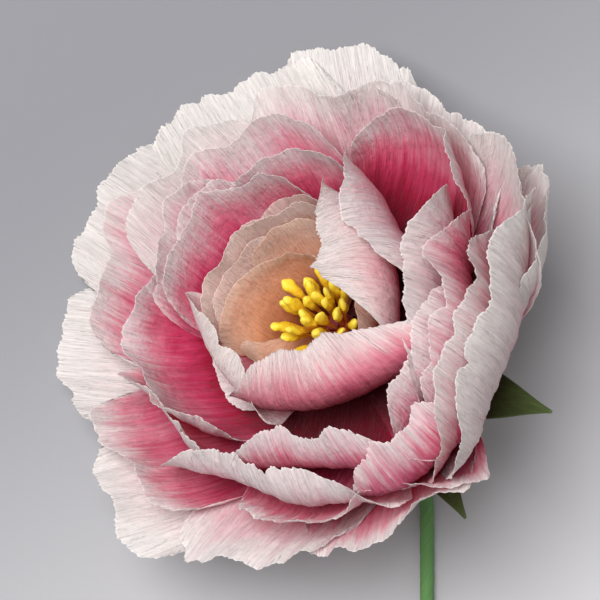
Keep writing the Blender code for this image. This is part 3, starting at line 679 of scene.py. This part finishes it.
def fingerPoints(inner, outer, top, count, splays, length):
    # each finger is an ellipse carried along a bent line, thin below and swelling to a club
    rng = np.random.default_rng(petals["seed"] + count)
    fingers = []
    for k in range(count):
        middle = math.pi * (2 * k + 0.5) / count
        close = 1 - stamens["closing"] * max(0.0, math.cos(middle - stamens["closingBearing"]))
        splay = math.radians((splays[k % 2] + rng.uniform(-stamens["splayMore"], stamens["splayMore"])) * close)
        swing = math.radians(rng.uniform(-stamens["swing"], stamens["swing"]))
        fingers.append((middle, splay, swing, stamens["longer"] * length * rng.uniform(*stamens["lengths"])))
    middle, splay, swing, reach = np.array(fingers).T
    bend = np.random.default_rng(stamens["bendSeed"] + count).uniform(-1, 1, (count, 3))
    out = np.stack([np.cos(middle + swing), np.sin(middle + swing), 0 * middle], -1)
    axis = out * np.sin(splay)[:, None] + np.array([0, 0, 1.0]) * np.cos(splay)[:, None]
    side = np.stack([-np.sin(middle), np.cos(middle), 0 * middle], -1)
    side = side - axis * (side * axis).sum(-1)[:, None]
    side = side / np.linalg.norm(side, axis=-1)[:, None]
    front = np.cross(side, axis)
    root = np.stack([np.cos(middle), np.sin(middle), 0 * middle], -1) * (inner + outer) / 2
    root[:, 2] = top - stamens["rootDepth"]
    t = (1 - (1 - np.linspace(0, 1, stamens["along"])) ** 1.5)[None, :]
    club = np.exp(-(np.abs(t - stamens["clubAt"]) / stamens["clubReach"]) ** 2.6)
    past = t > stamens["roundFrom"]
    ends = np.sqrt(np.clip(1 - ((t - stamens["roundFrom"]) / stamens["roundReach"]) ** 2, 0, 1)) * past + ~past
    size = 1 + 0.22 * bend[:, :1]
    lump = 1 + 0.2 * np.sin(13 * t + 6 * bend[:, 2:3]) + 0.12 * np.sin(29 * t + 9 * bend[:, 1:2])
    thinWide, thinDeep = stamens["threadWide"], stamens["threadDeep"]
    wide = thinWide + (stamens["headWide"] - thinWide) * club * size * lump
    deep = thinDeep + (stamens["headDeep"] - thinDeep) * club * size * (1.6 - 0.6 * lump)
    wide, deep = wide * ends + stamens["thinnest"], deep * ends + stamens["thinnest"]
    sag = bend[:, 1:2] * stamens["bend"] * np.sin(np.pi * t * 0.9) * t
    path = root[:, None] + axis[:, None] * (reach[:, None] * t)[..., None] + side[:, None] * sag[..., None]
    a = np.linspace(0, 2 * np.pi, stamens["around"], endpoint=False)
    turned = a + bend[:, 2][:, None, None] * stamens["twist"] * t[..., None]
    dent = np.cos(a + 0.6 + 3 * bend[:, 0][:, None, None]) ** 6
    dent = 1 - stamens["dent"] * (club * t ** 3)[..., None] * dent
    ring = side[:, None, None] * (np.cos(turned) * wide[..., None] * dent)[..., None]
    ring = ring + front[:, None, None] * (np.sin(turned) * deep[..., None] * dent)[..., None]
    points = path[:, :, None] + ring
    return points, np.broadcast_to(t[..., None], points.shape[:3]).ravel()


def fingerFaces(count):
    # a tube of quads for each finger, its two ends closed by strips of quads
    rows, columns = stamens["along"], stamens["around"]
    half = np.arange(columns // 2 - 1)
    foot = np.stack([half + 1, columns - 2 - half, columns - 1 - half, half], -1)
    finger = np.concatenate([tubeFaces(rows, columns)[:, ::-1], foot, foot[:, ::-1] + (rows - 1) * columns])
    return (finger[None] + (np.arange(count) * rows * columns)[:, None, None]).reshape(-1, 4)


def bandShape(inner, outer, top):
    # the band under the fingers: a rectangle turned round the pin
    around, bottom = stamens["bandAround"], stamens["bandBottom"]
    turn = np.linspace(0, 2 * np.pi, around, endpoint=False)[:, None]
    profile = np.array([(inner, bottom), (outer, bottom), (outer, top), (inner, top)])
    r, w = profile.T
    points = np.stack([r * np.cos(turn), r * np.sin(turn), w + 0 * turn], -1)
    i, j = np.meshgrid(np.arange(around), np.arange(4), indexing="ij")
    here, after = i * 4, (i + 1) % around * 4
    faces = np.stack([here + j, after + j, after + (j + 1) % 4, here + (j + 1) % 4], -1)
    return points.reshape(-1, 3), faces.reshape(-1, 4)


def makeStamens(material):
    for key, inner, outer, top, count, splays, length in stamens["sets"]:
        points, heights = fingerPoints(inner, outer, top, count, splays, length)
        band, bandFaces = bandShape(inner, outer, top)
        points = np.concatenate([points.reshape(-1, 3), band])
        faces = np.concatenate([fingerFaces(count), bandFaces + len(heights)])
        obj = meshFromArrays(key + "_paper", toRow(points), faces,
                             {"reach": np.concatenate([heights, np.zeros(len(band))])})
        obj.data.materials.append(material)
        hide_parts(key)
        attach(obj, "root")


# yellow paper: colour stops from the band to the clubs' tops, the lower ones painted shade, speckles, gloss,
# bump (strength, metres)
yellow = {
    "stops": ((0.0, (0.35, 0.05, 0.01, 1)), (0.35, (0.62, 0.22, 0.01, 1)), (0.68, (0.80, 0.48, 0.01, 1)),
              (0.9, (0.87, 0.66, 0.03, 1)), (1.0, (0.90, 0.74, 0.09, 1))),
    "speckle": 700.0, "detail": 3.0, "speckleShare": 0.35, "roughSlope": 0.3, "roughLevel": 0.48,
    "glow": 0.12, "glowScale": 0.002, "bump": (0.45, 0.0005),
}


def makeYellow():
    # painted shade: deep orange to brown down between the clubs; clear yellow at their tops, speckled and
    # softly glossy
    material, tree, shader = newMaterial("stamenPaper")
    noise = addNoise(tree, ownPlace(tree), yellow["speckle"], yellow["detail"])
    level = mathNode(tree, "ADD", attributeValue(tree, "reach"), centred(tree, noise, yellow["speckleShare"]))
    rough = mathNode(tree, "MULTIPLY_ADD", noise, yellow["roughSlope"], yellow["roughLevel"])
    feed(tree, shader, {"Base Color": colourRamp(tree, level, yellow["stops"]), "Roughness": rough,
                        "Subsurface Weight": yellow["glow"], "Subsurface Scale": yellow["glowScale"],
                        "Normal": addBump(tree, noise, *yellow["bump"]).outputs[0]})
    return material


makeStamens(makeYellow())
print("stamens made")

# stem tape: turns of tape, each lapping over the last, mm; how far the neck's two handles reach
stemTape = {"radius": 2.2, "widest": 2.25, "bore": 1.4, "pitch": 7.5, "lap": 0.10, "uneven": 0.04,
            "around": 40, "along": 420, "neckStart": 24, "neckEnd": 30, "neckPoints": 160,
            "uvAround": 0.5, "uvTurn": 4, "uvAlong": 0.6}


def stemRoute():
    # straight out of the core, one cubic round the neck, straight along the floor; even steps
    axis = Vector(headTurn[2])
    start = Vector((0, 0, headPose["height"])) + axis * (headPose["coreBottom"] - headPose["gap"])
    bend = Vector((headPose["stemX"], headPose["neckEndY"], headPose["stemEndZ"]))
    first = start - axis * stemTape["neckStart"]
    second = bend + Vector((0, stemTape["neckEnd"], 0))
    t = np.linspace(0, 1, stemTape["neckPoints"])[:, None]
    neck = (1 - t) ** 3 * np.array(start) + 3 * (1 - t) ** 2 * t * np.array(first)
    neck = neck + 3 * (1 - t) * t * t * np.array(second) + t ** 3 * np.array(bend)
    end = np.array([[headPose["stemX"], headPose["stemEndY"], headPose["stemEndZ"]]])
    rough = np.concatenate([neck, end])
    run = np.concatenate([[0], np.cumsum(np.linalg.norm(np.diff(rough, axis=0), axis=1))])
    steps = np.linspace(0, run[-1], stemTape["along"])
    path = np.stack([np.interp(steps, run, rough[:, k]) for k in range(3)], -1)
    return path + np.array(rootShift), steps


def makeStem(material):
    # a circle carried along the route, its radius rising a little across each lapped turn of tape
    path, run = stemRoute()
    tangent = np.gradient(path, axis=0)
    tangent = tangent / np.linalg.norm(tangent, axis=-1)[:, None]
    side = np.cross(tangent, np.array([0, 0, 1.0]))
    side = side / np.linalg.norm(side, axis=-1)[:, None]
    up = np.cross(side, tangent)
    rows, columns = len(run), stemTape["around"]
    a = np.linspace(0, 2 * np.pi, columns, endpoint=False)
    run = run[:, None]
    turns = run / stemTape["pitch"] + a / (2 * np.pi)
    lap = turns - np.floor(turns)
    radius = stemTape["radius"] + stemTape["lap"] * (lap - 0.5) + stemTape["uneven"] * np.sin(run * 0.9 + 3 * a)
    radius = np.minimum(radius, stemTape["widest"])
    skin, hole = ((path[:, None] + side[:, None] * (np.cos(a) * size)[..., None]
                   + up[:, None] * (np.sin(a) * size)[..., None]).reshape(-1, 3)
                  for size in (radius, np.full(radius.shape, stemTape["bore"])))
    quads = tubeFaces(rows, columns)
    count = rows * columns
    here = np.arange(columns)
    after = (here + 1) % columns
    last = count - columns
    startCap = np.stack([after + count, here + count, here, after], -1)
    endCap = np.stack([here + count, after + count, after, here], -1) + last
    faces = np.concatenate([quads[:, ::-1], quads + count, startCap, endCap])
    acrossTape = (a * stemTape["radius"] + 0 * run) * stemTape["uvAround"] + turns * stemTape["uvTurn"]
    grain = np.stack([acrossTape, run * stemTape["uvAlong"] + 0 * a], -1) / uvSpan
    uv = np.concatenate([grain.reshape(-1, 2)] * 2)
    obj = meshFromArrays("stem_tape", np.concatenate([skin, hole]) * mm, faces, uv=uv)
    obj.data.materials.append(material)
    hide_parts("stem_wrap")
    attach(obj, "root")


makeStem(makeGreen("stemTapeGreen"))
print("stem made")


# CAD pieces that stay: colour, roughness, metallic, grain of the noise, strength of its bump;
# then what they share
plainParts = {
    "table": (("flower_core", (0.22, 0.02, 0.025, 1), 0.65, 0.0, 500.0, 0.5),
              ("stem_wire", (0.42, 0.42, 0.44, 1), 0.35, 1.0, 300.0, 0.2)),
    "detail": 4.0, "darkest": 0.7, "roughSlope": 0.2, "bumpDepth": 0.0003,
}


def dressPlainParts():
    # plain colour broken up by noise on the piece's own coordinates
    for node, colour, roughness, metallic, grain, bump in plainParts["table"]:
        material, tree, shader = newMaterial(node + "Finish")
        noise = addNoise(tree, ownPlace(tree), grain, plainParts["detail"])
        dark = tuple(c * plainParts["darkest"] for c in colour[:3]) + (1,)
        rough = mathNode(tree, "MULTIPLY_ADD", noise, plainParts["roughSlope"], roughness)
        feed(tree, shader, {"Base Color": mixColours(tree, noise, dark, colour), "Metallic": metallic,
                            "Roughness": rough,
                            "Normal": addBump(tree, noise, bump, plainParts["bumpDepth"]).outputs[0]})
        materials = frame["nodes"][node].data.materials
        materials.clear()
        materials.append(material)


dressPlainParts()
print("plain parts dressed")

# room: floor greys and where they blend, a painted light gradient; world grey, lamps (power, size, place from
# the heart in metres), camera above the heart
room = {
    # painted light: the floor runs from a deeper grey at the upper left to a paler one at the lower right
    "floorShadedGrey": (0.26, 0.26, 0.28, 1), "floorLitGrey": (0.55, 0.545, 0.56, 1), "floorHalf": 4,
    "floorReach": (0.19, -0.10), "floorSlant": -0.55, "floorRoughness": 0.9, "floorSpecular": 0.1,
    "world": (0.96, 0.95, 0.95, 1), "worldStrength": 0.35,
    "lamps": (("keyLamp", 150.0, 2.0, (-1.0, 0.8, 3.25)), ("fillLamp", 3.0, 3.0, (-0.6, -2.2, 2.0))),
    "camera": (-0.01284, 0.00948, 0.917), "lens": 180.0, "sensor": 36.0, "clipEnd": 20.0,
}


def makeFloor():
    # painted light: grey that turns paler towards the lower right of the picture, where the head's shadow
    # falls, and deeper grey towards the upper left
    half = room["floorHalf"]
    mesh = bpy.data.meshes.new("floor")
    corners = [(-half, -half, 0), (half, -half, 0), (half, half, 0), (-half, half, 0)]
    mesh.from_pydata(corners, [], [(0, 1, 2, 3)])
    floor = addObject("floor", mesh)
    material, tree, shader = newMaterial("floorGrey")
    split = feed(tree, addNode(tree, "ShaderNodeSeparateXYZ"), {0: ownPlace(tree)})
    slant = mathNode(tree, "MULTIPLY_ADD", split.outputs[0], room["floorSlant"], split.outputs[1])
    start, end = room["floorReach"]
    reach = feed(tree, addNode(tree, "ShaderNodeMapRange", interpolation_type="SMOOTHSTEP"),
                 {"Value": slant, "From Min": start, "From Max": end})
    feed(tree, shader, {"Base Color": mixColours(tree, reach.outputs[0], room["floorShadedGrey"], room["floorLitGrey"]),
                        "Roughness": room["floorRoughness"], "Specular IOR Level": room["floorSpecular"]})
    mesh.materials.append(material)


def makeRoom():
    makeFloor()
    scene = bpy.context.scene
    scene.world = bpy.data.worlds.new("softWorld")
    scene.world.use_nodes = True
    sky = scene.world.node_tree.nodes["Background"]
    sky.inputs["Color"].default_value = room["world"]
    sky.inputs["Strength"].default_value = room["worldStrength"]
    heart = Vector(heartPoint) * mm
    for name, power, size, place in room["lamps"]:
        data = bpy.data.lights.new(name, "AREA")
        data.energy = power
        data.size = size
        lamp = addObject(name, data)
        lamp.location = heart + Vector(place)
        lamp.rotation_euler = (-Vector(place)).to_track_quat("-Z", "Y").to_euler()
    data = bpy.data.cameras.new("camera")
    data.lens = room["lens"]
    data.sensor_width = room["sensor"]
    data.clip_end = room["clipEnd"]
    scene.camera = addObject("camera", data)
    scene.camera.location = heart + Vector(room["camera"])
    scene.view_settings.view_transform = "Standard"


makeRoom()
print("room made")
